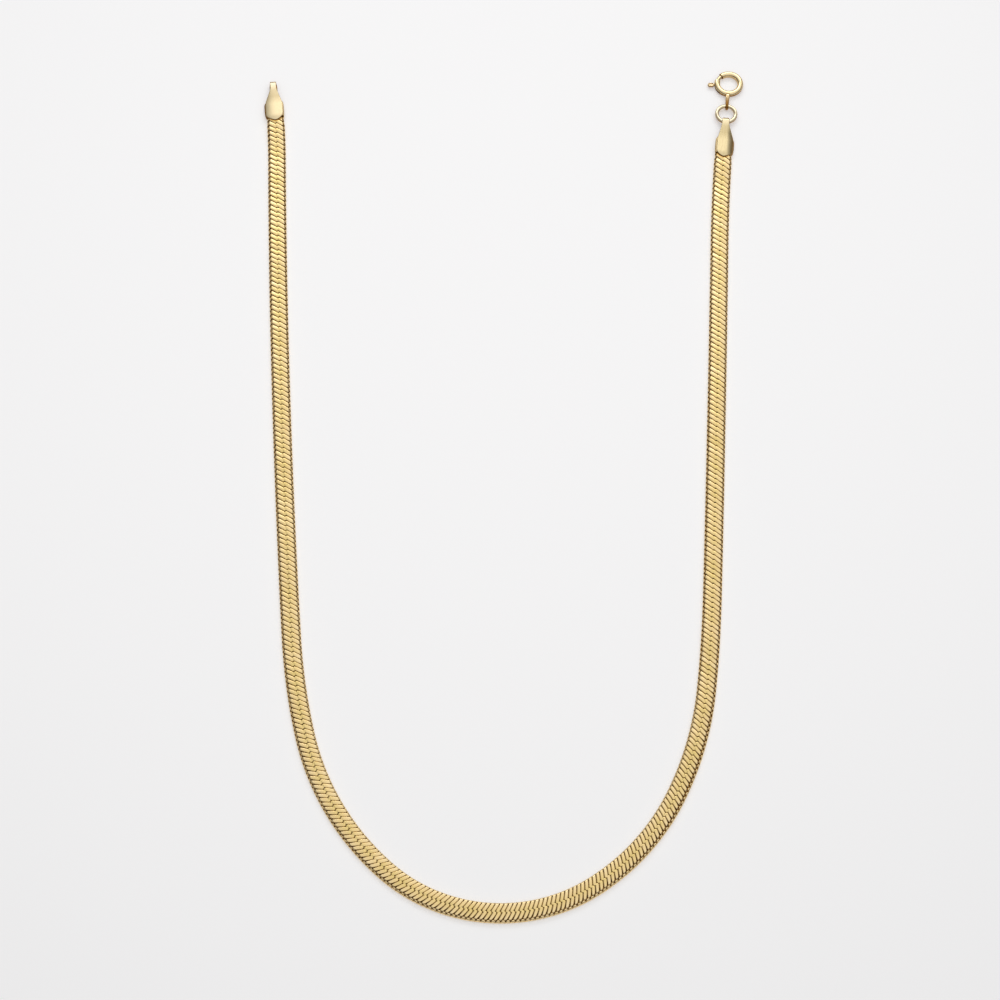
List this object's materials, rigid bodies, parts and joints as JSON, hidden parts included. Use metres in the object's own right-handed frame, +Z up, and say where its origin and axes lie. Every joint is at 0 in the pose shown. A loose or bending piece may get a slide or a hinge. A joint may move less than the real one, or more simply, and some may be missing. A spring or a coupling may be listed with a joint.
{
  "type": "herringbone chain necklace",
  "caption": "Flat woven herringbone chain necklace in yellow gold, lying open in a U, with stamped end caps, a jump ring and a spring ring clasp whose bolt slides back.",
  "frame": {"origin": "middle of the necklace's outline seen from above, at the level of the surface it lies on", "axes": "+Z up from the surface, +Y from the bottom of the U up its arms to the clasp, +X to the right, with the clasp on the right arm"},
  "size_m": [0.113, 0.2092, 0.0018],
  "materials": {
    "chain_gold": "polished yellow gold, woven links",
    "cap_gold": "polished yellow gold sheet, finely brushed",
    "ring_gold": "polished yellow gold",
    "bolt_gold": "polished yellow gold"
  },
  "bodies": {
    "necklace": {"chain": "chain_gold", "end_cap_left": "cap_gold", "end_cap_right": "cap_gold", "jump_ring": "ring_gold", "spring_ring": "ring_gold"},
    "clasp_bolt": {"bolt": "bolt_gold"}
  },
  "joints": [
    {"name": "bolt_slide", "type": "hinge", "parent": "necklace", "child": "clasp_bolt", "pos_m": [0.05315, 0.10124, 0.00063], "axis": [0, 0, 1], "range_deg": [0, 40], "stiffness_Nm_per_rad": 0.002, "springref_deg": -20.05}
  ]
}
